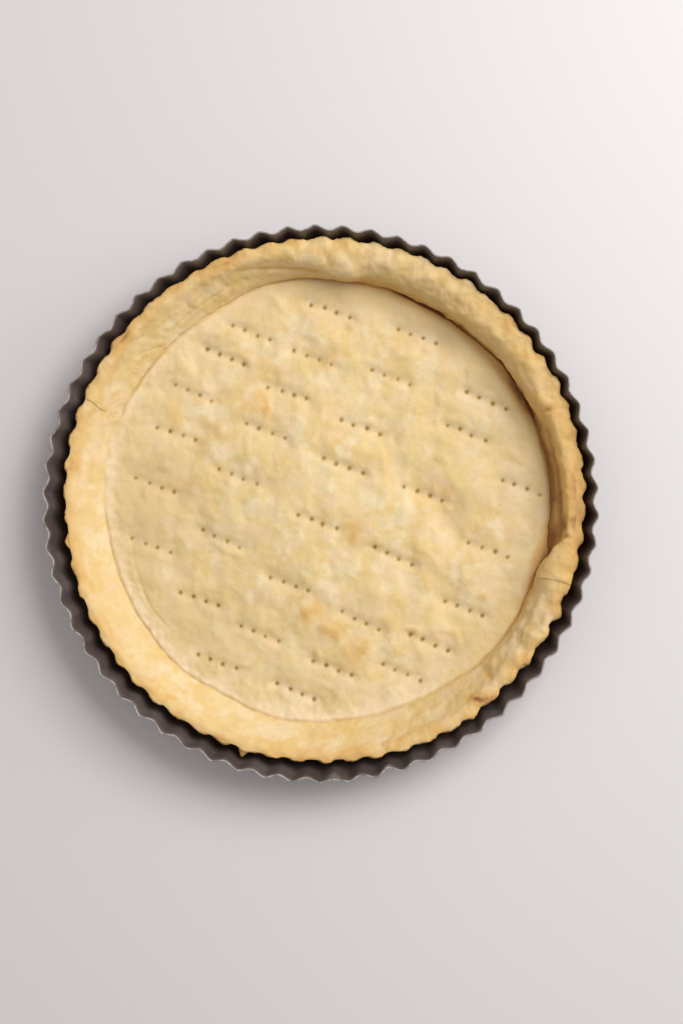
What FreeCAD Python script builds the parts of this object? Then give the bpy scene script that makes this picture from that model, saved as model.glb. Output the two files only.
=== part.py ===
import FreeCAD, Part

import math
import os

# Loose-bottomed fluted tart pan holding a blind-baked pastry shell.
# Millimetres, +Z up. The origin is on the table, at the centre of the pan's underside.
# Each physical piece is one solid in one STEP file.

# Driving dimensions of the pan
FLUTES = 62
RIM_CREST_R = 126.0  # outermost radius of the flutes at the rim
FOOT_CREST_R = 116.5  # the same, where the wall's line meets the table
PAN_HEIGHT = 28.0
FLUTE_DEPTH = 2.2  # crest to valley
FLUTE_PHASE = math.radians(3.4)  # angle of the first crest from +X
FLUTE_POINTEDNESS = 0.03  # third harmonic: 0 is a sine, 0.11 a zigzag
SHEET = 0.8  # thickness of the pressed steel
BEND_R = 1.6  # outside radius of the bend from wall to ledge
LEDGE_HOLE_R = 104.5  # the opening that the loose base closes

# Driving dimensions of the loose base
BASE_R = 111.0
BASE_STEP_R = 103.9  # where the flange's underside begins, just inside the ledge's hole
BASE_STEP_RUN = 1.1
BASE_LIFT = 0.2  # the middle stays this far off the table

# Driving dimensions of the pastry
PASTRY_SHIFT = FreeCAD.Vector(1.9, 1.8, 0.0)  # the baked shell has shrunk and slid a little
PASTRY_FLOOR = 3.6  # thickness of the floor
PASTRY_STEP_R = 99.0  # the floor's underside steps up over the base's flange here
PASTRY_DISC_R = 106.0  # edge of the dough disc, under the side bands
PASTRY_TOE_R = 102.5  # where the side bands meet the floor
PASTRY_FOOT_CREST_R = 111.4
PASTRY_SHOULDER_CREST_R = 118.0
PASTRY_SHOULDER_Z = 20.5
PASTRY_TOP_Z = 23.5
PASTRY_TOP_R = 114.0  # radius of the highest line
PASTRY_INNER_R = 109.6  # inner face at the height of the shoulder
PASTRY_FLUTE_DEPTH = 1.7
BAND_JOIN_FRONT = 341.0  # degrees from +X of the two places where the bands' ends meet
BAND_JOIN_BACK = 157.0

# Samples along one flute, from flank to flank
FLUTE_STEPS = 12
FLUTE_TURNS = [-math.pi / 2 + 2 * math.pi * i / FLUTE_STEPS for i in range(FLUTE_STEPS + 1)]

# Heights and radii that follow from the dimensions above
FLARE = math.atan((RIM_CREST_R - FOOT_CREST_R) / PAN_HEIGHT)
LEDGE_CREST_R = FOOT_CREST_R + BEND_R * math.tan(FLARE) - BEND_R / math.cos(FLARE)
FLANGE_TOP_Z = 2 * SHEET
BASE_TOP_Z = BASE_LIFT + SHEET
FLOOR_TOP_Z = BASE_TOP_Z + PASTRY_FLOOR
ROUND_WEIGHT = 0.75  # weight of a rounded corner's middle level
SEW_TOLERANCE = 0.001

Z_AXIS = FreeCAD.Vector(0, 0, 1)
ORIGIN = FreeCAD.Vector(0, 0, 0)


def wave(turn):
    """A flute's shape: 1 at the crest, -1 in the valley."""
    return (math.cos(turn) + FLUTE_POINTEDNESS * math.cos(3 * turn)) / (1 + FLUTE_POINTEDNESS)


def wave_slope(turn):
    return -(math.sin(turn) + 3 * FLUTE_POINTEDNESS * math.sin(3 * turn)) / (1 + FLUTE_POINTEDNESS)


class Level:
    """One fluted ring at a height: its crest radius, flute depth and how far it lies inside that line."""

    def __init__(self, crest_r, z, depth, inset=0.0):
        self.crest_r = crest_r
        self.z = z
        self.depth = depth
        self.inset = inset

    def point(self, turn):
        angle = FLUTE_PHASE + turn / FLUTES
        r = self.crest_r - self.depth / 2 * (1 - wave(turn))
        slope = self.depth / 2 * FLUTES * wave_slope(turn)
        length = math.hypot(r, slope)
        radial = r - self.inset * r / length
        sideways = self.inset * slope / length
        x = radial * math.cos(angle) - sideways * math.sin(angle)
        y = radial * math.sin(angle) + sideways * math.cos(angle)
        return FreeCAD.Vector(x, y, self.z)

    def curve(self):
        """The line of one flute. Every level's curve has the same knots, so patches share their edges."""
        line = Part.BSplineCurve()
        line.interpolate(Points=[self.point(t) for t in FLUTE_TURNS], Parameters=FLUTE_TURNS)
        return line


def all_round(shape):
    """The shape of one flute, copied to every flute."""
    copies = []
    for i in range(FLUTES):
        copy = shape.copy()
        copy.rotate(ORIGIN, Z_AXIS, 360.0 * i / FLUTES)
        copies.append(copy)
    return copies


def patch(*levels):
    """One flute's surface: straight between two levels, or rounded under the middle one of three."""
    curves = [level.curve() for level in levels]
    degree = len(levels) - 1
    knots = curves[0].getKnots()
    mults = curves[0].getMultiplicities()
    rows = [curve.getPoles() for curve in curves]
    weights = [[1.0] * len(row) for row in rows]
    if degree == 2:
        weights[1] = [ROUND_WEIGHT] * len(rows[1])
    surface = Part.BSplineSurface()
    surface.buildFromPolesMultsKnots(
        rows, [degree + 1] * 2, mults, [0.0, 1.0], knots, False, False, degree, curves[0].Degree, weights
    )
    return surface.toShape()


def fluted_wire(level):
    return Part.Wire(all_round(level.curve().toShape()))


def circle_wire(radius, z):
    centre = FreeCAD.Vector(0, 0, z)
    return Part.Wire([Part.makeCircle(radius, centre)])


def ring_face(outer, inner):
    """A flat face between two closed wires."""
    return Part.Face(outer).cut(Part.Face(inner)).Faces[0]


def tube_face(radius, z_low, z_high):
    circle = Part.makeCircle(radius, FreeCAD.Vector(0, 0, z_low))
    return circle.extrude(FreeCAD.Vector(0, 0, z_high - z_low))


def sewn_solid(faces):
    shell = Part.makeCompound(faces)
    shell.sewShape(SEW_TOLERANCE)
    solid = Part.makeSolid(shell.Shells[0])
    if solid.Volume < 0:
        solid.reverse()
    return solid


def revolved(profile):
    """A solid of revolution about Z from (radius, height) corners."""
    corners = [FreeCAD.Vector(r, 0, z) for r, z in profile]
    outline = Part.makePolygon(corners + corners[:1])
    return Part.Face(outline).revolve(ORIGIN, Z_AXIS, 360)


def fluted_ring():
    """The pressed steel side with its inward ledge at the foot."""
    wall_turn = math.pi / 2 - FLARE
    bend_end_r = LEDGE_CREST_R + BEND_R * math.sin(wall_turn)
    bend_end_z = BEND_R * (1 - math.cos(wall_turn))
    corner_r = LEDGE_CREST_R + BEND_R * math.tan(wall_turn / 2)
    inner_corner_r = LEDGE_CREST_R + (BEND_R - SHEET) * math.tan(wall_turn / 2)

    out_ledge = Level(LEDGE_CREST_R, 0.0, FLUTE_DEPTH)
    out_corner = Level(corner_r, 0.0, FLUTE_DEPTH)
    out_bend = Level(bend_end_r, bend_end_z, FLUTE_DEPTH)
    out_rim = Level(RIM_CREST_R, PAN_HEIGHT, FLUTE_DEPTH)

    in_ledge = Level(LEDGE_CREST_R, SHEET, FLUTE_DEPTH)
    in_corner = Level(corner_r, SHEET, FLUTE_DEPTH, corner_r - inner_corner_r)
    in_bend = Level(
        bend_end_r,
        bend_end_z + SHEET * math.cos(wall_turn),
        FLUTE_DEPTH,
        SHEET * math.sin(wall_turn),
    )
    in_rim = Level(RIM_CREST_R, PAN_HEIGHT, FLUTE_DEPTH, SHEET / math.cos(FLARE))

    faces = []
    for levels in (
        (out_ledge, out_corner, out_bend),
        (out_bend, out_rim),
        (in_ledge, in_corner, in_bend),
        (in_bend, in_rim),
    ):
        faces += all_round(patch(*levels))
    faces.append(ring_face(fluted_wire(out_rim), fluted_wire(in_rim)))
    faces.append(ring_face(fluted_wire(out_ledge), circle_wire(LEDGE_HOLE_R, 0.0)))
    faces.append(ring_face(fluted_wire(in_ledge), circle_wire(LEDGE_HOLE_R, SHEET)))
    faces.append(tube_face(LEDGE_HOLE_R, 0.0, SHEET))
    return sewn_solid(faces)


def loose_base():
    """The steel disc: its flange lies on the ledge and its middle drops into the ledge's hole."""
    return revolved(
        [
            (0, BASE_LIFT),
            (BASE_STEP_R - BASE_STEP_RUN, BASE_LIFT),
            (BASE_STEP_R, SHEET),
            (BASE_R, SHEET),
            (BASE_R, FLANGE_TOP_Z),
            (BASE_STEP_R - SHEET / 2, FLANGE_TOP_Z),
            (BASE_STEP_R - SHEET / 2 - BASE_STEP_RUN, BASE_TOP_Z),
            (0, BASE_TOP_Z),
        ]
    )


def pastry_floor():
    """The rolled disc of dough that lines the base."""
    return revolved(
        [
            (0, BASE_TOP_Z),
            (PASTRY_STEP_R, BASE_TOP_Z),
            (PASTRY_STEP_R + FLANGE_TOP_Z - BASE_TOP_Z, FLANGE_TOP_Z),
            (PASTRY_DISC_R, FLANGE_TOP_Z),
            (PASTRY_DISC_R, FLOOR_TOP_Z),
            (0, FLOOR_TOP_Z),
        ]
    )


def pastry_side():
    """The whole upstanding side: fluted outside, round on top, sloping inside, lapped onto the floor."""
    over = PASTRY_TOP_Z - PASTRY_SHOULDER_Z
    rise = PASTRY_SHOULDER_Z - FLANGE_TOP_Z
    outer_lean = (PASTRY_SHOULDER_CREST_R - PASTRY_FOOT_CREST_R) / rise
    inner_lean = (PASTRY_INNER_R - PASTRY_TOE_R) / (PASTRY_SHOULDER_Z - FLOOR_TOP_Z)

    foot = Level(PASTRY_FOOT_CREST_R, FLANGE_TOP_Z, PASTRY_FLUTE_DEPTH)
    shoulder = Level(PASTRY_SHOULDER_CREST_R, PASTRY_SHOULDER_Z, PASTRY_FLUTE_DEPTH)
    outer_corner = Level(
        PASTRY_SHOULDER_CREST_R + outer_lean * over, PASTRY_TOP_Z, PASTRY_FLUTE_DEPTH
    )
    top = Level(PASTRY_TOP_R, PASTRY_TOP_Z, 0.0)
    inner_corner = Level(PASTRY_INNER_R + inner_lean * over, PASTRY_TOP_Z, 0.0)
    inner_shoulder = Level(PASTRY_INNER_R, PASTRY_SHOULDER_Z, 0.0)
    toe = Level(PASTRY_TOE_R, FLOOR_TOP_Z, 0.0)

    faces = []
    for levels in (
        (foot, shoulder),
        (shoulder, outer_corner, top),
        (top, inner_corner, inner_shoulder),
        (inner_shoulder, toe),
    ):
        faces += all_round(patch(*levels))
    faces.append(ring_face(circle_wire(PASTRY_DISC_R, FLOOR_TOP_Z), fluted_wire(toe)))
    faces.append(tube_face(PASTRY_DISC_R, FLANGE_TOP_Z, FLOOR_TOP_Z))
    faces.append(ring_face(fluted_wire(foot), circle_wire(PASTRY_DISC_R, FLANGE_TOP_Z)))
    return sewn_solid(faces)


def band_of(side, start, end):
    """The part of the side between two angles, in degrees."""
    reach = RIM_CREST_R * 2
    wedge = Part.makeCylinder(reach, PAN_HEIGHT * 2, -Z_AXIS, Z_AXIS, (end - start) % 360)
    wedge.rotate(ORIGIN, Z_AXIS, start)
    return side.common(wedge).Solids[0]


def shifted(shape):
    moved = shape.copy()
    moved.translate(PASTRY_SHIFT)
    return moved


def main():
    side = pastry_side()
    pieces = {
        "fluted_ring": fluted_ring(),
        "loose_base": loose_base(),
        "pastry_floor": shifted(pastry_floor()),
        "pastry_band_back": shifted(band_of(side, BAND_JOIN_FRONT, BAND_JOIN_BACK)),
        "pastry_band_front": shifted(band_of(side, BAND_JOIN_BACK, BAND_JOIN_FRONT)),
    }
    os.makedirs("parts", exist_ok=True)
    for name, shape in pieces.items():
        shape.exportStep(f"parts/{name}.step")
        print(name, shape.ShapeType, "valid", shape.isValid(), "volume", round(shape.Volume))


main()
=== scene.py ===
import itertools
import math

import bpy
import numpy as np
from mathutils import Matrix, Vector


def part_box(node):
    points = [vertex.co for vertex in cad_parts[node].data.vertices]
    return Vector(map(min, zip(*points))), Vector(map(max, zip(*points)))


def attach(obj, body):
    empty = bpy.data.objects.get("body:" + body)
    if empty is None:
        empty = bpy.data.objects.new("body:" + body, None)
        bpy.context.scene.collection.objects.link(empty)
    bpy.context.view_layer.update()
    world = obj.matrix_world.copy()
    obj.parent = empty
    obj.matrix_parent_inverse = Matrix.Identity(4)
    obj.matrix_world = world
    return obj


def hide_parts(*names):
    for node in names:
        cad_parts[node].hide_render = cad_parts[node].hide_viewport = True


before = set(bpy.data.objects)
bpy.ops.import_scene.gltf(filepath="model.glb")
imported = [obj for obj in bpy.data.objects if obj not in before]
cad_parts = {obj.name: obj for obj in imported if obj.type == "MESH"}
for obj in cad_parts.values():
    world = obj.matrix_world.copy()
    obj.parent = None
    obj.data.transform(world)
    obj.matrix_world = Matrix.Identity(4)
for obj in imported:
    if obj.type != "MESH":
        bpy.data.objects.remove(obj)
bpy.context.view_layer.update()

# Lengths below are in millimetres, angles in degrees counted from +X, unless a name says otherwise.
MM = 0.001


def in_mm(corner):
    return np.array(corner) / MM


# Sizes read from the frame
RIM_R = in_mm(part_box("fluted_ring")[1])[1]
PAN_HEIGHT = in_mm(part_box("fluted_ring")[1])[2]
BASE_R = in_mm(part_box("loose_base")[1])[0]
BASE_LOW_Z = in_mm(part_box("loose_base")[0])[2]
BASE_HIGH_Z = in_mm(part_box("loose_base")[1])[2]
CRUST_LOW = in_mm(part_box("pastry_floor")[0])
CRUST_HIGH = in_mm(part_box("pastry_floor")[1])
CRUST_CENTRE = (CRUST_LOW + CRUST_HIGH) / 2
FLOOR_R = (CRUST_HIGH - CRUST_LOW)[0] / 2
FLOOR_Z = CRUST_HIGH[2]
FLOOR_LOW_Z = CRUST_LOW[2]
SIDE_TOP_Z = in_mm(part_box("pastry_band_front")[1])[2]
SIDE_LOW_Z = in_mm(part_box("pastry_band_front")[0])[2]

# Pressed ring: its side leans out by LEAN_OUT from foot to rim
FLUTES = 62
FLUTE_PHASE = 3.4
FLUTE_DEPTH = 2.2
POINTEDNESS = 0.03
LEAN_OUT = 9.5
FLARE = math.atan(LEAN_OUT / PAN_HEIGHT)
SHEET = 0.8
BEND_R = 1.6
RIM_ROUND = 0.28
LEDGE_HOLE_R = 104.5
FOOT_CREST_R = RIM_R - PAN_HEIGHT * math.tan(FLARE)

# Valleys of the ring knocked out of line at the rim: angle, outward push
KNOCKS = [(273.3, 0.9), (285.0, -0.7), (118.0, 0.4)]

# How deep the painted shade on the inside of the ring is, by angle
RING_SHADE = [
    (0, 1.0), (60, 1.0), (110, 0.9), (150, 0.35), (180, 0.2), (210, 0.05), (290, 0.1), (315, 0.35),
    (345, 0.85),
]

# Loose base: where it steps down into the ring's hole, and a shallow groove pressed round its middle
BASE_STEP_R = 103.2
BASE_STEP_REACH = 1.3
BASE_GROOVE_R = 70.0
BASE_GROOVE_REACH = 3.0
BASE_GROOVE_DEPTH = 0.12

# Pastry seams, where one strip of dough laps over the other
SEAM_FRONT = 341.0
SEAM_BACK = 157.0

# Fork: four tines a fixed step apart, pressed in five rows. Places are from the middle of the floor.
TINES = 4
TINE_STEP = 6.3
FORK_ANGLE = -21.5
FORK_PRESSES = [
    (-35, 78), (-47, 67), (-62, 50), (-70, 31), (-80, 7), (-82, -21),
    (2, 88), (-6, 66), (-18, 50), (-28, 32), (-41, 11), (-49, -18), (-59, -46), (-51, -75),
    (42, 76), (30, 57), (16, 34), (8, 16), (-4, -10), (-17, -39), (-31, -62), (-14, -89),
    (74, 46), (65, 31), (45, 3), (31, -26), (16, -56), (3, -78),
    (90, 6), (75, -23), (64, -50), (48, -66), (35, -80),
]


# ---------------------------------------------------------------- shapes from numbers


def smooth(t):
    t = np.clip(t, 0.0, 1.0)
    return t * t * (3 - 2 * t)


def between(x, low, high):
    """0 below low, 1 above high, smooth in between."""
    return smooth((x - low) / (high - low))


def hump(x, middle, reach):
    """1 at the middle, 0 from reach away on."""
    return smooth(1 - np.abs(x - middle) / reach)


def spot(flat, x, y, reach):
    """1 at (x, y), 0 from reach away on."""
    return hump(np.hypot(flat[:, 0] - x, flat[:, 1] - y), 0.0, reach)


def angle_gap(angle, middle):
    """Signed degrees from middle to angle, from -180 to 180."""
    return (angle - middle + 180.0) % 360.0 - 180.0


def noise(points, size, seed, octaves=1):
    """Gradient noise of about -1 to 1 at each point. size is the width of its lumps."""
    total = np.zeros(len(points))
    amplitude = 1.0
    for octave in range(octaves):
        place = points / size * 2.0**octave + 31.7 * octave
        cell = np.floor(place).astype(np.int64)
        inside = place - cell
        ease = inside**3 * (inside * (inside * 6 - 15) + 10)
        for corner in itertools.product((0, 1), repeat=3):
            steps = np.array(corner)
            weight = np.prod(np.where(steps, ease, 1 - ease), axis=1)
            slope = lattice(cell + steps, seed + octave)
            total += amplitude * weight * np.sum(slope * (inside - steps), axis=1)
        amplitude *= 0.5
    return total * 1.5


def lattice(cell, seed):
    """Three fixed numbers from -1 to 1 for each whole-numbered cell."""
    key = cell[:, 0] * 73856093 ^ cell[:, 1] * 19349663 ^ cell[:, 2] * 83492791
    numbers = []
    for axis in range(3):
        mixed = (key + seed * 7919 + axis * 104729) & 0xFFFFFFFF
        mixed = ((mixed ^ (mixed >> 15)) * 0x2C1B3C6D) & 0xFFFFFFFF
        mixed = ((mixed ^ (mixed >> 12)) * 0x297A2D39) & 0xFFFFFFFF
        numbers.append((mixed ^ (mixed >> 15)) / 2.0**31 - 1.0)
    return np.stack(numbers, axis=1)


def keyed(angle, keys):
    """A smooth closed curve through (angle, value) keys, read at any angle."""
    places = np.array([key[0] for key in keys], float)
    values = np.array([key[1] for key in keys], float)
    count = len(keys)
    turned = (np.asarray(angle) - places[0]) % 360.0 + places[0]
    i = np.searchsorted(places, turned, side="right") - 1
    after = (i + 1) % count
    width = (places[after] - places[i]) % 360.0
    tilt = (np.roll(values, -1) - np.roll(values, 1)) / ((np.roll(places, -1) - np.roll(places, 1)) % 360.0)
    t = (turned - places[i]) / width
    start_bend = t * (1 - t) ** 2 * tilt[i] * width
    end_bend = t**2 * (t - 1) * tilt[after] * width
    return values[i] * (1 - smooth(t)) + values[after] * smooth(t) + start_bend + end_bend


def column(table, number):
    """(angle, value) keys from one column of a table whose rows start with their angle."""
    return [(row[0], row[number]) for row in table]


def flute_wave(angle):
    """1 on a flute's crest, -1 in its valley."""
    turn = np.radians((angle - FLUTE_PHASE) * FLUTES)
    return (np.cos(turn) + POINTEDNESS * np.cos(3 * turn)) / (1 + POINTEDNESS)


def flute_slope(angle):
    """The wave's slope, in heights per radian of its own turn."""
    turn = np.radians((angle - FLUTE_PHASE) * FLUTES)
    return -(np.sin(turn) + 3 * POINTEDNESS * np.sin(3 * turn)) / (1 + POINTEDNESS)


# ---------------------------------------------------------------- meshes


def grid_faces(rows, columns, closed_rows, closed_columns, flip=False):
    """Quads over a grid of points, numbered row by row."""
    i = np.arange(rows if closed_rows else rows - 1)[:, None]
    j = np.arange(columns if closed_columns else columns - 1)[None, :]
    next_i = (i + 1) % rows
    next_j = (j + 1) % columns
    corners = [i * columns + j, next_i * columns + j, next_i * columns + next_j, i * columns + next_j]
    if flip:
        corners.reverse()
    return np.stack(np.broadcast_arrays(*corners), axis=-1).reshape(-1, 4)


def make_piece(name, points_mm, faces, body, material, nodes, attributes=None):
    """A smooth mesh from points in millimetres, riding on a body and standing for CAD nodes."""
    mesh = bpy.data.meshes.new(name)
    mesh.from_pydata((np.asarray(points_mm) * MM).tolist(), [], [list(f) for f in faces])
    for key, values in (attributes or {}).items():
        layer = mesh.attributes.new(key, "FLOAT", "POINT")
        layer.data.foreach_set("value", np.asarray(values, np.float32))
    mesh.validate()
    mesh.shade_smooth()
    mesh.materials.append(material)
    piece = bpy.data.objects.new(name, mesh)
    bpy.context.scene.collection.objects.link(piece)
    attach(piece, body)
    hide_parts(*nodes)
    return piece


# ---------------------------------------------------------------- materials


class Shader:
    """A material and short ways to add nodes to it."""

    def __init__(self, name):
        self.material = bpy.data.materials.new(name)
        self.material.use_nodes = True
        self.tree = self.material.node_tree
        self.surface = self.tree.nodes["Principled BSDF"]
        coords = self.tree.nodes.new("ShaderNodeTexCoord")
        self.place = coords.outputs["Object"]

    def node(self, kind, inputs=None, **settings):
        made = self.tree.nodes.new(kind)
        for key, value in settings.items():
            setattr(made, key, value)
        for key, value in (inputs or {}).items():
            self.put(made.inputs[key], value)
        return made

    def put(self, socket, value):
        if isinstance(value, bpy.types.NodeSocket):
            self.tree.links.new(value, socket)
        else:
            socket.default_value = value

    def noise(self, width_mm, detail=3.0, roughness=0.55, place=None):
        scale = 1 / (width_mm * MM)
        made = self.node(
            "ShaderNodeTexNoise",
            {"Vector": place or self.place, "Scale": scale, "Detail": detail, "Roughness": roughness},
        )
        return made.outputs["Fac"]

    def attribute(self, name):
        return self.node("ShaderNodeAttribute", attribute_name=name).outputs["Fac"]

    def remap(self, value, low, high, to_low=0.0, to_high=1.0):
        made = self.node(
            "ShaderNodeMapRange",
            {"Value": value, "From Min": low, "From Max": high, "To Min": to_low, "To Max": to_high},
            interpolation_type="SMOOTHSTEP",
        )
        return made.outputs["Result"]

    def math(self, operation, a, b=0.0):
        made = self.node("ShaderNodeMath", {0: a, 1: b}, operation=operation)
        return made.outputs[0]

    def mix(self, share, a, b, blend="MIX"):
        made = self.node("ShaderNodeMix", data_type="RGBA", blend_type=blend)
        self.put(made.inputs["Factor"], share)
        self.put(made.inputs[6], (*a, 1.0) if isinstance(a, tuple) else a)
        self.put(made.inputs[7], (*b, 1.0) if isinstance(b, tuple) else b)
        return made.outputs[2]

    def bump(self, height, distance_mm, strength=1.0, under=None):
        settings = {"Height": height, "Strength": strength, "Distance": distance_mm * MM}
        made = self.node("ShaderNodeBump", settings)
        if under is not None:
            self.put(made.inputs["Normal"], under)
        return made.outputs["Normal"]

    def moved_place(self, shift):
        """The place on the object, moved, so that one noise doesn't repeat another."""
        made = self.node("ShaderNodeVectorMath", {0: self.place, 1: (shift, shift, shift)}, operation="ADD")
        return made.outputs[0]

    def finish(self, **sockets):
        for key, value in sockets.items():
            self.put(self.surface.inputs[key.replace("_", " ")], value)
        return self.material


def coated_steel(name):
    """Dark brown-grey non-stick coating, worn to dull steel, and darkened by painted shade inside the ring
    where the attributes say.
    """
    s = Shader(name)
    grain = s.noise(0.5, 2.0)
    cloud = s.noise(28.0, 4.0)
    smear = s.noise(7.0, 5.0, 0.65)
    dark = s.mix(s.remap(cloud, 0.35, 0.68), (0.075, 0.056, 0.053), (0.118, 0.097, 0.094))
    coat = s.mix(s.remap(smear, 0.5, 0.75, 0.0, 0.35), dark, (0.175, 0.150, 0.146))
    speck = s.mix(s.remap(grain, 0.62, 0.72, 0.0, 0.4), coat, (0.19, 0.16, 0.145))
    chip = s.math("MULTIPLY", s.attribute("wear"), s.remap(s.noise(4.0, 4.0, 0.6), 0.35, 0.6, 0.3, 1.0))
    # Painted shade: the inside of the ring darkened towards the bottom and at the right and back
    painted_shade_share = s.math("MULTIPLY", s.attribute("painted_shade"), s.remap(smear, 0.25, 0.6, 0.7, 1.0))
    shaded_coat = s.mix(painted_shade_share, speck, (0.030, 0.014, 0.010))
    colour = s.mix(chip, shaded_coat, (0.46, 0.43, 0.415))
    rough = s.remap(smear, 0.3, 0.7, 0.34, 0.48)
    bump = s.bump(grain, 0.03)
    bump = s.bump(smear, 0.05, 0.6, bump)
    return s.finish(Base_Color=colour, Roughness=rough, Normal=bump, Metallic=0.0, IOR=1.5)


def shortcrust(name):
    """Baked shortcrust: cream to golden in patches, dulled with painted shade in hollows, browner where its
    attribute of oven colour and painted shade says, and olive brown in the fork's pricks, partly baked colour
    and partly painted shade."""
    s = Shader(name)
    broad = s.noise(26.0, 3.0)
    patch = s.noise(12.0, 3.0, 0.5)
    small = s.noise(3.2, 2.0, 0.5)
    blush = s.noise(9.0, 2.0, 0.5, s.moved_place(7.3))
    crumb = s.noise(0.8, 3.0, 0.6)
    cream = (0.770, 0.600, 0.315)
    gold = (0.755, 0.530, 0.215)
    pale = (0.805, 0.665, 0.415)
    white = (0.83, 0.71, 0.49)
    olive = (0.69, 0.51, 0.215)
    tan = (0.69, 0.42, 0.135)
    brown_and_shade = (0.27, 0.105, 0.03)
    colour = s.mix(s.remap(broad, 0.40, 0.62, 0.0, 0.9), cream, gold)
    colour = s.mix(s.remap(patch, 0.46, 0.64, 0.0, 1.0), colour, pale)
    colour = s.mix(s.remap(patch, 0.48, 0.32, 0.0, 0.6), colour, olive)
    colour = s.mix(s.remap(small, 0.54, 0.72, 0.0, 0.22), colour, white)
    colour = s.mix(s.remap(small, 0.46, 0.32, 0.0, 0.22), colour, olive)
    colour = s.mix(s.remap(crumb, 0.55, 0.75, 0.0, 0.1), colour, olive)
    colour = s.mix(s.remap(blush, 0.50, 0.66, 0.0, 0.55), colour, (0.80, 0.60, 0.385))
    colour = s.mix(s.remap(blush, 0.50, 0.34, 0.0, 0.55), colour, (0.735, 0.555, 0.235))
    # Painted shade: a duller olive in hollows and where less light reaches
    colour = s.mix(s.attribute("crust_shade"), colour, (0.68, 0.52, 0.27))
    toast_and_shade = s.math("ADD", s.attribute("toast_and_shade"), s.remap(patch, 0.35, 0.75, -0.12, 0.12))
    # Paler below zero: the dough's own paler margin, and a painted tint of the cooler light in the side's
    # shade
    colour = s.mix(s.remap(toast_and_shade, -0.35, 0.0, 0.75, 0.0), colour, (0.85, 0.70, 0.495))
    # Tan, then dark brown: oven colour, and painted shade in the corners, creases and dents
    colour = s.mix(s.remap(toast_and_shade, 0.15, 0.75, 0.0, 0.9), colour, tan)
    colour = s.mix(s.remap(toast_and_shade, 0.7, 1.3), colour, brown_and_shade)
    # Olive brown in the fork's holes: partly baked colour, partly painted shade
    colour = s.mix(s.attribute("prick_brown_and_shade"), colour, (0.37, 0.205, 0.03))
    rough = s.remap(small, 0.3, 0.7, 0.52, 0.72)
    bump = s.bump(crumb, 0.12, 0.7)
    bump = s.bump(small, 0.30, 0.7, bump)
    return s.finish(
        Base_Color=colour,
        Roughness=rough,
        Normal=bump,
        Specular_IOR_Level=0.3,
        Subsurface_Weight=0.12,
        Subsurface_Radius=(1.0, 0.55, 0.25),
        Subsurface_Scale=0.0015,
    )


def pale_floor(name):
    s = Shader(name)
    tone = s.mix(s.remap(s.noise(900.0, 2.0), 0.3, 0.7), (0.685, 0.655, 0.68), (0.72, 0.69, 0.715))
    return s.finish(Base_Color=tone, Roughness=0.55)


# ---------------------------------------------------------------- pan


def ring_section():
    """The ring's sheet all round, as (crest radius, height, flute depth, inset from the crest line)."""
    turn = math.pi / 2 - FLARE
    ledge_r = FOOT_CREST_R + BEND_R * math.tan(FLARE) - BEND_R / math.cos(FLARE)
    bend = np.linspace(0.0, turn, 7)
    wall = np.linspace(0.0, 1.0, 15)[1:]
    ledge = np.linspace(0.0, 1.0, 5)[:-1]

    def bend_level(phi, depth_in):
        reach = BEND_R - depth_in
        crest = ledge_r + BEND_R * math.sin(phi)
        return (crest, BEND_R - reach * math.cos(phi), FLUTE_DEPTH, depth_in * math.sin(phi))

    def wall_level(t, depth_in):
        low = bend_level(turn, depth_in)
        inset = depth_in / math.cos(FLARE)
        top_z = PAN_HEIGHT - RIM_ROUND
        z = low[1] + (top_z - low[1]) * t
        crest = FOOT_CREST_R + z * math.tan(FLARE)
        return (crest, z, FLUTE_DEPTH, inset)

    def ledge_level(t, z):
        return (LEDGE_HOLE_R + (ledge_r - LEDGE_HOLE_R) * t, z, FLUTE_DEPTH * t**2, 0.0)

    levels = [ledge_level(t, 0.0) for t in ledge]
    levels += [bend_level(phi, 0.0) for phi in bend]
    levels += [wall_level(t, 0.0) for t in wall]
    full = SHEET / math.cos(FLARE)
    for share, drop in ((0.12, 0.30), (0.30, 0.05), (0.5, 0.0), (0.70, 0.05), (0.88, 0.30)):
        levels.append((RIM_R, PAN_HEIGHT - RIM_ROUND * drop, FLUTE_DEPTH, full * share))
    levels += [wall_level(t, SHEET) for t in wall[::-1]]
    levels += [bend_level(phi, SHEET) for phi in bend[::-1]]
    levels += [ledge_level(t, SHEET) for t in ledge[::-1]]
    levels.append((LEDGE_HOLE_R - 0.12, SHEET * 0.5, 0.0, 0.0))
    return np.array(levels)


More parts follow.
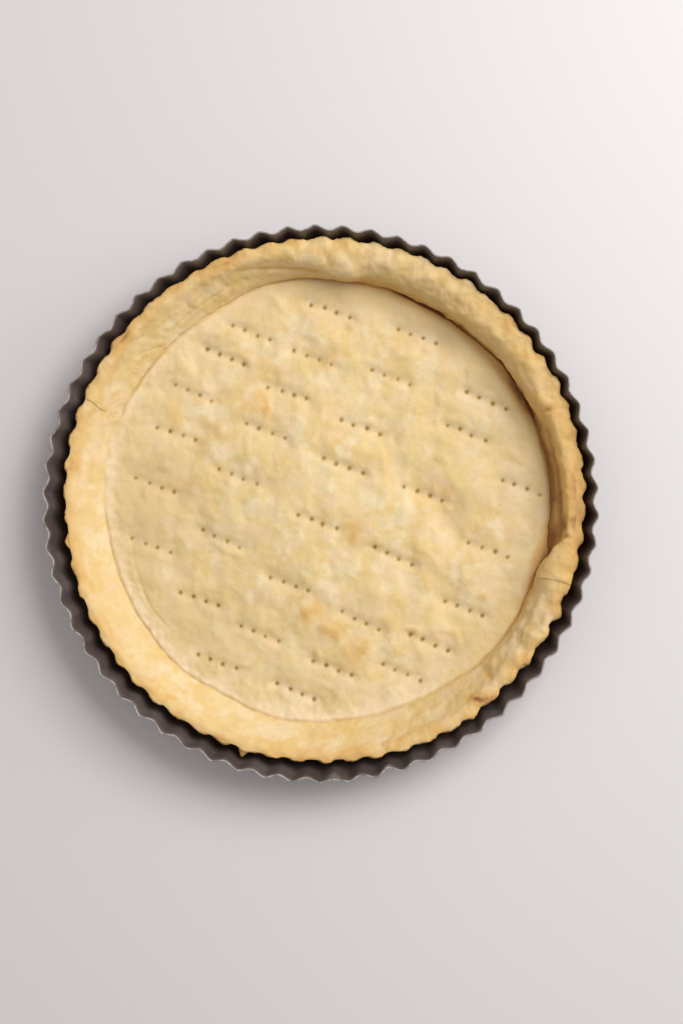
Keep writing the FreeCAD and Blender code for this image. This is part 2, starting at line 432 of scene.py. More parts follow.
def build_ring(material):
    """The fluted side, its worn cut rim and the ledge at its foot, as one closed sheet."""
    steps_per_flute = 18
    columns = FLUTES * steps_per_flute
    angle = FLUTE_PHASE + np.arange(columns) * 360.0 / columns
    levels = ring_section()
    crest, z, depth, inset = (levels[:, k][:, None] for k in range(4))
    wave = flute_wave(angle)[None, :]
    r = crest - depth / 2 * (1 - wave)
    slope = depth / 2 * FLUTES * flute_slope(angle)[None, :]
    length = np.hypot(r, slope)
    radial = r - inset * r / length
    sideways = inset * slope / length
    z = np.broadcast_to(z, r.shape)
    height = np.clip(z / PAN_HEIGHT, 0, 1)

    # Hand-worn sheet: a slow wobble, and a few valleys knocked out of line
    around = np.stack([np.cos(np.radians(angle)) * 60, np.sin(np.radians(angle)) * 60, angle * 0], axis=1)
    wobble = 0.22 * noise(around, 30.0, 5, 2)[None, :] * height
    knocks = 0
    for place, push in KNOCKS:
        knocks = knocks + push * hump(angle_gap(angle, place), 0.0, 2.4)[None, :] * between(height, 0.72, 1.0)
    radial = radial + wobble + knocks

    cos, sin = np.cos(np.radians(angle))[None, :], np.sin(np.radians(angle))[None, :]
    x, y = radial * cos - sideways * sin, radial * sin + sideways * cos
    points = np.stack([x, y, z], axis=-1).reshape(-1, 3)
    inside = (np.arange(len(levels)) > len(levels) // 2)[:, None]
    rim = between(z + 0.2 - 0.3 * inside, PAN_HEIGHT - 0.45, PAN_HEIGHT - 0.05)
    rubbed = 0.9 * rim + 0.35 * between(np.abs(knocks), 0.2, 0.7)
    # Painted shade inside the ring: deepest low down and at the right and back, where the crust and the
    # ring's own side shade it
    ring_shade = keyed(angle, RING_SHADE)[None, :]
    from_rim = (PAN_HEIGHT - z - 0.5 - 4.5 * (1 - ring_shade)) / (4.5 + 3.5 * (1 - ring_shade))
    painted_shade = (0.3 + 0.65 * ring_shade) * inside * smooth(from_rim)
    faces = grid_faces(len(levels), columns, True, True, flip=True)
    return make_piece(
        "ring_shell", points, faces, "ring", material, ["fluted_ring"],
        {"wear": np.clip(rubbed, 0, 1).reshape(-1), "painted_shade": painted_shade.reshape(-1)},
    )


def build_base(material):
    """The disc: its flange lies on the ledge, and a rounded step drops its middle into the ledge's hole."""
    columns = 240
    top_r = np.concatenate(
        [np.linspace(2.0, 101.4, 34), np.linspace(101.8, 104.6, 11), np.linspace(105.2, BASE_R - 0.3, 7)]
    )
    sink = BASE_HIGH_Z - (BASE_LOW_Z + SHEET)
    flange = between(top_r, BASE_STEP_R - BASE_STEP_REACH, BASE_STEP_R + BASE_STEP_REACH)
    top_z = BASE_HIGH_Z - sink * (1 - flange)
    top_z = top_z - BASE_GROOVE_DEPTH * hump(top_r, BASE_GROOVE_R, BASE_GROOVE_REACH)
    under_z = top_z - SHEET
    r = np.concatenate([top_r, [BASE_R - 0.08, BASE_R, BASE_R - 0.08], top_r[::-1]])
    edge_z = [BASE_HIGH_Z - 0.08, BASE_HIGH_Z - SHEET / 2, BASE_HIGH_Z - SHEET + 0.08]
    z = np.concatenate([top_z, edge_z, under_z[::-1]])
    angle = np.radians(np.arange(columns) * 360.0 / columns)
    x, y = r[:, None] * np.cos(angle), r[:, None] * np.sin(angle)
    points = np.stack([x, y, np.broadcast_to(z[:, None], x.shape)], axis=-1).reshape(-1, 3)
    faces = grid_faces(len(r), columns, False, True).tolist()
    last = (len(r) - 1) * columns
    faces.append(list(range(columns)))
    faces.append([last + k for k in reversed(range(columns))])
    wear = np.repeat(between(r, BASE_R - 0.3, BASE_R), columns) * 0.8
    return make_piece(
        "base_disc", points, faces, "base", material, ["loose_base"],
        {"wear": wear, "painted_shade": np.zeros(len(wear))},
    )


# ---------------------------------------------------------------- pastry floor


# How far the side's foot wanders in and out of its line
FOOT_WANDER = 0.45

# Where the baked floor stands higher or lower than its neighbourhood: x, y, reach, height
SWELLS = [
    (-14, -2, 76, 2.2),
    (19, 52, 14, -1.2), (26, 34, 14, -1.2), (34, 17, 13, -1.2), (45, 4, 13, -1.2), (55, -7, 13, -1.2),
    (62, -17, 13, -0.9), (68, 6, 15, 1.1), (-26, -43, 7.5, 1.0), (23, -43, 7, 0.5), (68, -33, 13, 0.9),
    (-36, 40, 15, 0.9), (16, -14, 12, 0.6), (-72, 62, 9, 0.6), (-66, 3, 8, -0.7), (-51, 26, 10, 0.7),
    (3, 70, 16, 0.8), (-8, -55, 11, 0.6),
]
SWELL_GAIN = 1.25

# Where it has taken most colour in the oven: x, y, reach, strength
BROWNER = [
    (-34, 43, 17, 0.50), (14, -13, 15, 0.52), (-7, -54, 17, 0.62), (14, -68, 15, 0.45), (2, 71, 19, 0.34),
    (-50, 33, 10, 0.3), (52, -2, 14, 0.22), (-22, -20, 14, 0.22), (52, 8, 16, 0.2), (-20, 40, 10, 0.3),
]
BROWN_GAIN = 0.95
BROWN_SPREAD = 1.25

# Painted shade, dulling the floor where less light reaches it: x, y, reach, strength
SHADED_PATCHES = [(-80, -4, 44, 0.6), (-48, -60, 36, 0.4), (-8, -84, 26, 0.3), (84, 8, 26, 0.25), (60, 30, 20, 0.15)]

# Round the floor's edge, by angle: wrinkles; oven colour next to the side, with painted shade where the side
# overhangs; painted shade dulling the margin; how far the colour is paler just inside, partly the dough's own
# margin and partly a painted tint of the cooler light in the side's shade; then the painted shade in the
# corner under the side that hangs over it
EDGE_WRINKLES = [(0, 0.2), (90, 0.2), (150, 0.8), (200, 1.0), (270, 1.0), (310, 0.5)]
EDGE_TOAST_AND_SHADE = [
    (0, 0.3), (18, 0.45), (29, 1.05), (42, 0.6), (52, 0.6), (63, 0.95), (76, 0.45), (92, 0.15), (130, -0.06),
    (180, -0.22), (230, -0.26), (280, -0.16), (315, 0.1), (334, 0.35), (346, 0.8), (354, 0.4),
]
EDGE_SHADE = [(0, 0.3), (60, 0.35), (120, 0.4), (170, 0.6), (230, 0.65), (290, 0.4), (330, 0.3)]
EDGE_SHADE_TINT = [(0, 1.0), (90, 1.0), (140, 0.6), (180, 0.0), (200, 0.2), (250, 0.7), (300, 1.0)]
CORNER_SHADE = [
    (0, 0.1), (14, 0.6), (30, 1.0), (62, 1.0), (80, 0.6), (97, 0.2), (112, 0.0), (300, 0.0), (325, 0.5),
    (342, 0.3),
]

# A faint fold inside the floor's edge at the front left: its middle's angle, its half length, its radius
FOLD_AT = 208.0
FOLD_REACH = 19.0
FOLD_R = 94.3

# Radius of the side's foot, near enough to read the noise that makes it wander
FOOT_R = 103.0


def fork_holes():
    """(x, y, radius, depth) of each tine's hole, from the middle of the floor."""
    rng = np.random.default_rng(11)
    holes = []
    for x, y in FORK_PRESSES:
        angle = math.radians(FORK_ANGLE + rng.normal(0, 2.0))
        weight = rng.uniform(0.65, 1.0)
        for k in range(TINES):
            along = (k - (TINES - 1) / 2) * TINE_STEP
            hole_x = x + along * math.cos(angle) + rng.normal(0, 0.25)
            hole_y = y + along * math.sin(angle) + rng.normal(0, 0.25)
            share = weight * rng.uniform(0.8, 1.1)
            holes.append((hole_x, hole_y, 1.2 * share**0.5, 0.85 * share))
    return np.array(holes)


def spot_on_foot(angle):
    """Points round the side's foot, at which the noise that makes it wander is read."""
    turn = np.radians(angle)
    return np.stack([FOOT_R * np.cos(turn), FOOT_R * np.sin(turn), 0 * turn], axis=-1)


def foot_wander(angle):
    """How far the side's foot is out of its line at each angle, the same for the floor and the side."""
    return FOOT_WANDER * noise(spot_on_foot(angle), 8.0, 91, 2)


def disc_grid(radius, cells):
    """A square grid bent into a disc: even cells and no pole. Points in rows, (cells + 1) each way."""
    t = np.linspace(-1.0, 1.0, cells + 1)
    u, v = np.meshgrid(t, t, indexing="ij")
    x = u * np.sqrt(1 - v * v / 2)
    y = v * np.sqrt(1 - u * u / 2)
    return np.stack([x, y], axis=-1).reshape(-1, 2) * radius


def draw_in(flat, holes, reach=2.9, power=1.5):
    """Moves points near each hole towards it, so that a hole gets more of them."""
    moved = flat.copy()
    for x, y, _, _ in holes:
        gap = flat - (x, y)
        distance = np.hypot(gap[:, 0], gap[:, 1])
        near = distance < reach
        share = (distance[near] / reach) ** (power - 1)
        moved[near] = (x, y) + gap[near] * share[:, None]
    return moved


def press_depth(flat):
    """How deep each point of the floor lies in the fork's presses, 0 to about 1."""
    along = np.array([math.cos(math.radians(FORK_ANGLE)), math.sin(math.radians(FORK_ANGLE))])
    across = np.array([-along[1], along[0]])
    groove = np.zeros(len(flat))
    depths = np.random.default_rng(12).uniform(0.55, 1.1, len(FORK_PRESSES))
    for press, depth in zip(FORK_PRESSES, depths):
        gap = flat - press
        off_end = np.clip(np.abs(gap @ along) - 1.7 * TINE_STEP, 0, None)
        away = np.hypot(off_end, gap @ across)
        groove = np.maximum(groove, (0.55 * smooth(1 - away / 12.0) + 0.45 * smooth(1 - away / 4.0)) * depth)
    return groove


def sink_holes(flat, holes, height):
    """Sinks the tines' holes into height, and returns how far each point is inside one."""
    prick_brown_and_shade = np.zeros(len(flat))
    for x, y, radius, depth in holes:
        distance = np.hypot(flat[:, 0] - x, flat[:, 1] - y)
        near = distance < 4.0
        d = distance[near] / radius
        height[near] -= depth * (1 - between(d, 0.0, 1.25))
        height[near] -= 0.12 * (1 - between(d, 0.6, 2.6))
        # How much of the holes' colour to paint: partly baked colour, partly painted shade
        prick_brown_and_shade[near] = np.maximum(prick_brown_and_shade[near], (1 - between(d, 0.3, 1.25)) * min(1.0, 0.35 + 0.9 * depth))
    return prick_brown_and_shade


def floor_relief(flat, holes):
    """(height, oven colour with painted shade, the pricks' colour, painted shade) over the floor: pillows
    between the fork's rows, blisters and pricks.
    """
    points = np.column_stack([flat, np.zeros(len(flat))])
    drift = np.column_stack([noise(points, 9.0, 31), noise(points, 9.0, 32), np.zeros(len(flat))])
    warped = points + 2.0 * drift
    height = 0.8 * noise(points, 38.0, 21)
    height += 0.95 * noise(warped, 17.0, 22)
    height += 0.62 * noise(warped, 9.0, 23)
    height += 0.28 * noise(warped, 4.8, 24)
    height += 0.08 * noise(points, 2.4, 25)
    lumps = 0.4 * noise(warped, 17.0, 22) + 0.62 * noise(warped, 9.0, 23) + 0.34 * noise(warped, 4.8, 24)
    blister = np.clip(noise(warped, 8.0, 41) - 0.22, 0, None)
    height += 0.8 * blister
    for x, y, reach, swell in SWELLS:
        height += SWELL_GAIN * swell * spot(flat, x, y, reach)
    groove = press_depth(flat)
    height += 0.7 - 1.6 * groove

    # Painted shade: duller in the grooves and low places, and in patches where less light reaches
    crust_shade = 0.55 * between(0.9 * groove - lumps, -0.15, 1.0)
    for x, y, reach, strength in SHADED_PATCHES:
        crust_shade += strength * spot(flat, x, y, reach)

    # Oven colour: on the swells, hardly any in the grooves
    toast_and_shade = 0.26 * between(noise(warped, 17.0, 61, 3), 0.1, 0.75) + 0.35 * blister + 0.06 * (0.5 - groove)
    mottle = 0.8 + 0.7 * noise(warped, 8.0, 71, 2)
    for x, y, reach, strength in BROWNER:
        toast_and_shade += BROWN_GAIN * strength * spot(flat, x, y, BROWN_SPREAD * reach) * mottle

    prick_brown_and_shade = sink_holes(flat, holes, height)
    height, toast_and_shade, crust_shade = edge_relief(flat, points, warped, height, toast_and_shade, crust_shade)
    return height, toast_and_shade, prick_brown_and_shade, np.clip(crust_shade, 0, 1)


def edge_relief(flat, points, warped, height, toast_and_shade, crust_shade):
    """The floor's edge: wrinkled, level with the side's foot, with a faint fold inside it at one place."""
    r = np.hypot(flat[:, 0], flat[:, 1])
    angle = np.degrees(np.arctan2(flat[:, 1], flat[:, 0])) % 360.0
    margin = between(r, 90.0, 100.0)
    wrinkled = between(r, 84.0, 97.0) * keyed(angle, EDGE_WRINKLES)
    height = height * (1 - 0.45 * margin) + 0.5 * margin
    height += wrinkled * (0.35 * noise(warped, 4.2, 51) + 0.22 * noise(points, 2.6, 52))
    fold_r = FOLD_R + 1.2 * np.sin(np.radians(angle * 9.0))
    fold = hump(angle, FOLD_AT, FOLD_REACH) * (1 - between(np.abs(r - fold_r), 0.3, 1.3))
    height -= 0.4 * fold
    foot = keyed(angle, column(SIDE, 1)) + foot_wander(angle)
    crease = keyed(angle, CREASE)
    height -= (0.1 + 0.95 * crease) * between(r, foot - 1.4, foot + 0.3)
    height += 0.9 * np.clip(0.6 - crease, 0, None) * between(r, foot - 5.0, foot + 0.6)

    # Oven colour next to the side, with painted shade where the side overhangs, and brown painted as shade in
    # the fold
    edge_brown_and_shade = keyed(angle, EDGE_TOAST_AND_SHADE) + 0.12 * noise(warped, 7.0, 81, 2)
    toast_and_shade = toast_and_shade * (1 - 0.7 * margin) + edge_brown_and_shade * between(r, 96.0, 102.5) + 0.12 * fold
    # Brown in the crease: partly baked colour, partly painted shade
    toast_and_shade += 0.3 * crease * between(r, foot - 1.9, foot - 0.4)
    # Painted shade dulling the margin
    crust_shade = crust_shade * (1 - 0.6 * margin) + between(r, 80.0, 92.0) * keyed(angle, EDGE_SHADE)
    # Paler just inside the edge: partly the dough's own margin, partly a painted tint of the cooler light in
    # shade
    toast_and_shade -= 0.1 * between(r, 70.0, 90.0) * keyed(angle, EDGE_SHADE_TINT)
    shade = keyed(angle, CORNER_SHADE)
    toast_and_shade += 0.32 * shade * between(r, 88.0, 99.0)
    crust_shade += 0.4 * shade * between(r, 84.0, 96.0)
    return height, toast_and_shade, crust_shade


def build_floor(material):
    """The disc of dough, closed underneath, with a step that clears the base's flange."""
    cells = 292
    crust_step_r = 99.0
    holes = fork_holes()
    flat = draw_in(disc_grid(FLOOR_R, cells), holes)
    height, toast_and_shade, prick_brown_and_shade, crust_shade = floor_relief(flat, holes)
    side = cells + 1
    top = np.column_stack([flat, FLOOR_Z + height])
    keep = np.arange(side * side).reshape(side, side)

    # Underside: flat on the base, stepping up over its flange; the rim of both grids is the same loop
    rim = np.concatenate([keep[0, :-1], keep[:-1, -1], keep[-1, :0:-1], keep[:0:-1, 0]])
    rings = [(FLOOR_R, FLOOR_Z - 1.9), (FLOOR_R, SIDE_LOW_Z + 0.3), (FLOOR_R - 0.4, SIDE_LOW_Z)]
    rings += [(crust_step_r + 0.6, SIDE_LOW_Z), (crust_step_r, FLOOR_LOW_Z)]
    rings += [(r, FLOOR_LOW_Z) for r in (80.0, 45.0, 12.0)]
    ways = flat[rim] / np.hypot(flat[rim, 0], flat[rim, 1])[:, None]
    under = [np.column_stack([ways * r, np.full(len(rim), z)]) for r, z in rings]
    first = side * side
    loops = [rim] + [first + k * len(rim) + np.arange(len(rim)) for k in range(len(rings))]
    faces = grid_faces(side, side, False, False).tolist()
    for upper, lower in zip(loops[:-1], loops[1:]):
        faces += np.stack([upper, np.roll(upper, -1), np.roll(lower, -1), lower], axis=-1).tolist()
    faces.append(loops[-1].tolist())
    points = np.concatenate([top] + under) + [CRUST_CENTRE[0], CRUST_CENTRE[1], 0.0]
    below = len(rim) * len(rings)
    toast_and_shade = np.concatenate([toast_and_shade, np.full(below, 0.4)])
    prick_brown_and_shade = np.concatenate([prick_brown_and_shade, np.zeros(below)])
    crust_shade = np.concatenate([crust_shade, np.zeros(below)])
    return make_piece(
        "pastry_base_crust", points, faces, "pastry", material, ["pastry_floor"],
        {"toast_and_shade": toast_and_shade, "prick_brown_and_shade": prick_brown_and_shade, "crust_shade": crust_shade},
    )


# ---------------------------------------------------------------- pastry side

# The side's section as it goes round. Each row: angle, then the radius of the foot on the floor, of the
# inner face low, halfway and high up, of the crown, and how far the crown stands above the outer edge.
SIDE = [
    (0, 103.4, 104.6, 106.6, 108.6, 111.2, 0.6),
    (9, 103.1, 104.4, 106.2, 108.0, 110.8, 0.6),
    (18, 103.3, 104.2, 105.4, 106.8, 110.2, 0.8),
    (24, 103.9, 103.6, 103.9, 104.8, 109.8, 1.0),
    (30, 103.9, 103.3, 103.2, 103.9, 110.4, 0.9),
    (37, 103.6, 102.9, 103.0, 103.8, 110.6, 0.9),
    (46, 101.9, 102.3, 102.6, 103.4, 110.8, 0.8),
    (57, 101.1, 101.7, 102.0, 102.9, 110.6, 0.8),
    (64, 101.4, 101.8, 102.2, 103.0, 110.8, 0.9),
    (72, 101.9, 102.6, 103.2, 104.2, 111.4, 0.8),
    (78.5, 102.1, 103.3, 103.8, 104.8, 111.8, 0.7),
    (83, 102.4, 101.9, 101.7, 102.5, 111.6, 0.7),
    (88, 102.9, 101.6, 101.5, 102.4, 111.8, 0.6),
    (92.5, 103.4, 102.9, 103.7, 105.6, 112.6, 0.5),
    (98, 103.7, 104.4, 107.0, 109.2, 113.6, 0.3),
    (107, 103.9, 105.4, 108.4, 111.4, 114.6, 0.2),
    (118, 102.6, 105.0, 108.6, 112.0, 115.6, 0.1),
    (126, 102.1, 105.2, 108.8, 112.2, 115.8, 0.1),
    (133, 102.7, 105.6, 109.0, 112.4, 115.8, 0.1),
    (144, 103.1, 105.8, 109.0, 112.6, 116.0, 0.1),
    (157, 103.8, 106.1, 109.0, 112.6, 116.0, 0.1),
    (163, 104.4, 106.3, 109.0, 112.6, 116.0, 0.1),
    (175, 103.6, 105.8, 109.0, 112.6, 116.2, 0.0),
    (195, 102.8, 105.8, 109.2, 112.8, 116.4, 0.0),
    (215, 103.0, 105.8, 109.2, 113.0, 116.6, 0.0),
    (228, 103.6, 106.0, 109.4, 113.0, 116.6, 0.0),
    (242, 102.2, 105.8, 109.2, 113.0, 116.6, 0.0),
    (257, 103.7, 106.0, 109.2, 112.8, 116.4, 0.0),
    (272, 102.5, 105.6, 109.0, 112.6, 116.2, 0.0),
    (290, 101.8, 105.2, 108.6, 112.0, 115.6, 0.1),
    (304, 102.3, 105.0, 108.0, 111.4, 115.0, 0.2),
    (315, 103.4, 104.6, 106.6, 109.6, 114.4, 0.3),
    (326, 103.9, 103.9, 104.8, 107.4, 113.6, 0.5),
    (337, 102.8, 103.3, 104.2, 106.2, 113.0, 0.6),
    (341.5, 102.9, 102.4, 102.3, 103.2, 110.4, 0.8),
    (344.6, 103.8, 102.6, 102.2, 102.9, 109.6, 0.9),
    (346.6, 104.6, 104.4, 104.0, 104.4, 109.8, 0.9),
    (348.6, 104.0, 105.0, 105.8, 106.4, 110.2, 0.8),
    (350.4, 103.6, 104.8, 106.8, 108.4, 110.9, 0.7),
    (353.5, 103.4, 104.6, 106.8, 108.9, 111.4, 0.6),
]

# Radius where the side laps on the floor's disc, underneath
LAP_R = 105.8

# Radius of the side's outer edge, by angle
OUTER_EDGE = [
    (0, 117.7), (40, 117.6), (75, 118.1), (100, 118.7), (140, 119.2), (170, 118.6), (187, 117.9),
    (205, 118.8), (245, 119.0), (270, 118.2), (300, 118.5), (320, 117.4), (340, 117.4),
]

# How sharp the crease between floor and side is, and how brown: partly baked colour, partly painted shade
CREASE = [
    (0, 0.6), (22, 1.0), (50, 0.9), (66, 1.1), (80, 0.9), (92, 0.8), (104, 1.0), (115, 0.6), (126, 0.8),
    (136, 0.8), (148, 0.8), (155, 0.5), (162, 0.05), (176, 0.05), (186, 0.5), (205, 0.7), (250, 0.65),
    (290, 0.75), (302, 0.7), (316, 0.7), (330, 1.0), (348, 0.5),
]

# 1 where the top of the side has sagged inwards into a fat roll
ROLL = [
    (0, 0.0), (19, 0.0), (25, 1.0), (60, 1.0), (86, 1.0), (96, 0.2), (106, 0.0), (200, 0.0), (300, 0.0),
    (314, 0.5), (328, 0.9), (341, 1.0), (347, 1.0), (349.5, 0.5), (352, 0.0),
]

# By angle: how rough the dough is, and how firmly it was pressed into the ring's flutes
ROUGHNESS = [
    (0, 0.7), (30, 1.3), (60, 1.4), (85, 0.8), (110, 0.8), (160, 0.6), (220, 0.5), (280, 0.6), (310, 1.0),
    (335, 1.3), (348, 1.0),
]
FIRMNESS = [(0, 0.8), (50, 0.75), (80, 0.6), (105, 0.5), (135, 0.6), (160, 0.8), (300, 0.8)]

# Fold lines pressed into the inner face: angles, radii, half width, depth
FOLDS = [
    ([88, 93, 96, 100, 104, 113], [102.8, 104.9, 106.5, 107.8, 109.0, 112.6], 1.1, 0.8),
    ([99, 104, 110, 118], [105.2, 106.2, 107.6, 108.4], 1.8, 0.35),
    ([113, 120, 130, 137], [107.8, 106.7, 106.3, 104.6], 0.8, 0.45),
    ([130, 134, 138, 141, 147], [102.0, 102.8, 105.4, 108.2, 110.2], 0.8, 0.4),
    ([144, 151, 156, 163, 170], [113.0, 112.0, 108.0, 106.0, 104.6], 0.9, 0.3),
    ([184, 190, 196], [109.0, 106.8, 104.6], 0.8, 0.20),
    ([247, 254, 262], [107.6, 106.6, 104.4], 0.8, 0.20),
    ([284, 292, 304], [105.4, 106.4, 106.0], 0.7, 0.25),
]

# Marks of the hands that made it, by angle: finger flats and a notch in the roll, the edge of the lobe
# folded over the front seam, a groove and a step in the top, a pit at the lobe's foot, and a flake of dough
# left on the outside
FLATS_AT = 327.0
FLATS_REACH = 15.0
FLATS_STEP = 6.5
NOTCH_AT = 313.4
LOBE_RADII = [101.5, 103.0, 106.5, 110.7]
LOBE_ANGLES = [343.2, 344.6, 348.5, 351.3]
GROOVE_AT = 351.5
STEP_AT = 21.8
PIT_AT = 346.6
FLAKE_AT = 252.3

# By angle: oven colour on the outer edge, on the top of the lip and over the whole side; then painted shade,
# with some real browning, on the inner face with the height that it reaches, and in a stripe halfway up
EDGE_TONE = [
    (0, 0.35), (20, 0.2), (40, 0.05), (75, 0.1), (98, 0.7), (112, 1.0), (195, 1.0), (225, 0.75), (250, 0.8),
    (280, 1.0), (330, 1.0), (347, 0.6),
]
LIP_TONE = [
    (0, 0.15), (40, 0.0), (80, 0.0), (110, 0.05), (170, 0.15), (190, 0.2), (220, 0.05), (255, 0.2),
    (320, 0.0), (345, 0.1),
]
SIDE_TONE = [
    (0, 0.52), (20, 0.46), (28, 0.40), (45, 0.34), (75, 0.22), (100, 0.06), (120, 0.04), (150, 0.0),
    (180, -0.02), (210, 0.0), (240, 0.0), (270, 0.06), (300, 0.08), (320, 0.02), (335, 0.16), (348, 0.42),
]
SHADE_TONE = [
    (0, 0.58), (15, 0.6), (27, 1.0), (36, 0.7), (48, 0.5), (60, 0.6), (72, 0.4), (90, 0.45), (105, 0.12),
    (130, 0.0), (180, 0.0), (230, 0.0), (290, 0.05), (330, 0.3), (348, 0.8), (355, 0.55),
]
SHADE_TOP = [
    (0, 1.05), (16, 1.0), (26, 0.6), (60, 0.6), (90, 0.8), (120, 0.7), (340, 0.6), (350, 0.8), (354, 1.05),
]
STRIPE_TONE = [(0, 0.34), (15, 0.25), (26, 0.0), (340, 0.0), (350, 0.2)]

# Spots on the lip that browned first: angle, reach, strength; and a slanting brown mark at the front right
LIP_SPOTS = [
    (218.5, 4.5, 0.55), (247.5, 3.5, 0.5), (265.5, 5.0, 0.55), (43.5, 3.5, 0.3), (120.0, 10.0, 0.25),
    (140.0, 6.0, 0.18), (96.0, 2.5, 0.25), (0.0, 14.0, 0.2),
]
SLANT_AT = 309.5
LIP_TOAST_LIMIT = 0.92

# The strips' grid: where along the section the seen part ends, degrees between rows, and how far the ends of
# the lower strip are tucked under the upper one's
LAST_SEEN = 14.5
ROW_STEP = 0.29
TUCK = 3.0
DOUGH_SEED = 100


def side_controls(angle):
    """Control points (radius, height) of the section at each angle, shape (angles, points, 2)."""
    foot, low, mid, high, crown, stand = (keyed(angle, column(SIDE, k)) for k in range(1, 7))
    roll = keyed(angle, ROLL)
    foot = foot + foot_wander(angle)
    edge = keyed(angle, OUTER_EDGE)
    toe = edge - 6.6
    top_z = SIDE_TOP_Z + 0.25
    edge_z = top_z - stand
    points = [
        (foot + 1.6, FLOOR_Z - 1.2),
        (foot + 0.3, FLOOR_Z - 0.5),
        (foot, FLOOR_Z + 0.7),
        (foot * 0.6 + low * 0.4, FLOOR_Z + 2.2),
        (low, 9.4 - 0.8 * roll),
        (mid, 14.2 - 1.7 * roll),
        (high, 19.2 - 2.4 * roll),
        ((high + crown) / 2 - 0.4 - 1.2 * roll, top_z - 1.4 - 1.9 * roll),
        (crown, top_z - 0.3 * roll),
        ((crown + edge) / 2 + 0.6, (top_z + edge_z) / 2),
        (edge - 0.7, edge_z),
        (edge + 0.25, edge_z - 0.7),
        (edge + 0.1, edge_z - 2.4),
        (edge - 1.6, 15.5),
        (toe + 2.2, 7.0),
        (toe + 0.2, SIDE_LOW_Z),
        (toe - 0.7, SIDE_LOW_Z),
        (LAP_R + 0.6, SIDE_LOW_Z),
        (LAP_R, SIDE_LOW_Z + 0.6),
        (LAP_R, FLOOR_Z - 0.9),
    ]
    flat = np.ones_like(angle)
    return np.stack([np.stack([r * flat, z * flat], axis=-1) for r, z in points], axis=1)


def spline_weights(places, count):
    """Weights of a closed cubic B-spline's control points at each place, from 0 to count."""
    weights = np.zeros((len(places), count))
    rows = np.arange(len(places))
    i = np.floor(places).astype(int)
    t = places - i
    second, third = (3 * t**3 - 6 * t**2 + 4) / 6, (-3 * t**3 + 3 * t**2 + 3 * t + 1) / 6
    shares = [(1 - t) ** 3 / 6, second, third, t**3 / 6]
    for k, value in enumerate(shares):
        np.add.at(weights, (rows, (i - 1 + k) % count), value)
    return weights


class Strip:
    """A strip of dough's grid, rows round the pan and columns round its section, with masks over it."""

    def __init__(self, start, end, tuck):
        rows = int((end - start + 2 * tuck) / ROW_STEP)
        angle = np.linspace(start - tuck, end + tuck, rows)
        controls = side_controls(angle)
        count = controls.shape[1]
        seen_places = np.linspace(0.0, LAST_SEEN, 96, endpoint=False)
        hidden_places = np.linspace(LAST_SEEN, count, 12, endpoint=False)
        places = np.concatenate([seen_places, hidden_places])
        section = np.einsum("mk,akc->amc", spline_weights(places, count), controls)
        tangent = np.roll(section, -1, axis=1) - np.roll(section, 1, axis=1)
        size = np.hypot(tangent[..., 0], tangent[..., 1]) + 1e-9
        self.r, self.z = section[..., 0], section[..., 1]
        self.out_r, self.out_z = -tangent[..., 1] / size, tangent[..., 0] / size
        self.angle = np.broadcast_to(angle[:, None], self.r.shape)
        self.along = np.broadcast_to(places[None, :], self.r.shape)
        self.height = (self.z - FLOOR_Z) / (SIDE_TOP_Z - FLOOR_Z)
        self.inside = np.minimum(self.angle - start, end - self.angle)
        self.end_side = np.where(self.angle - start < end - self.angle, -1.0, 1.0)
        self.seen = 1 - between(self.along, 14.0, 15.5)
        self.inner = 1 - between(self.along, 8.0, 9.0)
        self.outer = between(self.along, 9.2, 10.6) * self.seen
        self.rise = between(self.along, 2.0, 5.0)
        self.turn = np.radians(self.angle)
        x, y = self.r * np.cos(self.turn), self.r * np.sin(self.turn)
        self.spots = np.stack([x, y, self.z], axis=-1).reshape(-1, 3)

    def field(self, size_mm, number, octaves=1):
        return noise(self.spots, size_mm, DOUGH_SEED + number, octaves).reshape(self.r.shape)

    def by_angle(self, keys):
        return keyed(self.angle, keys)

    def near(self, middle, reach):
        return hump(angle_gap(self.angle, middle), 0.0, reach)


def knead(strip):
    """(push, sag): how far the dough stands out of its section in lumps and grain, and the lumps alone."""
    rough = strip.by_angle(ROUGHNESS)
    sag = (0.55 * strip.field(16.0, 1) + 0.62 * strip.field(7.0, 2)) * rough
    push = sag * (0.3 + 0.7 * strip.rise)
    push += 0.5 * strip.by_angle(ROLL) * np.abs(strip.field(8.0, 10)) * strip.rise
    push += 0.30 * strip.field(4.6, 11) * (0.4 + 0.6 * rough) * strip.rise
    push += 0.30 * strip.field(3.6, 3) * (0.3 + 0.7 * rough)
    push += 0.17 * strip.field(1.9, 4) * (0.3 + 0.7 * rough)
    push += 0.50 * strip.outer * strip.field(4.2, 5, 2)
    return push, sag


def print_flutes(strip, push):
    """The ring's flutes on the outside, fading over the top."""
    printed = 1 - 2 * ((1 - flute_wave(strip.angle)) / 2) ** 1.4
    firm = strip.by_angle(FIRMNESS)
    grain = 0.26 * strip.outer * strip.field(1.6, 9)
    push += strip.outer * (firm + 0.4 * strip.field(14.0, 8)) * printed + grain
    push += 0.14 * hump(strip.along, 9.2, 1.2) * printed
    push += 0.5 * between(strip.along, 11.8, 13.2) * strip.seen * printed


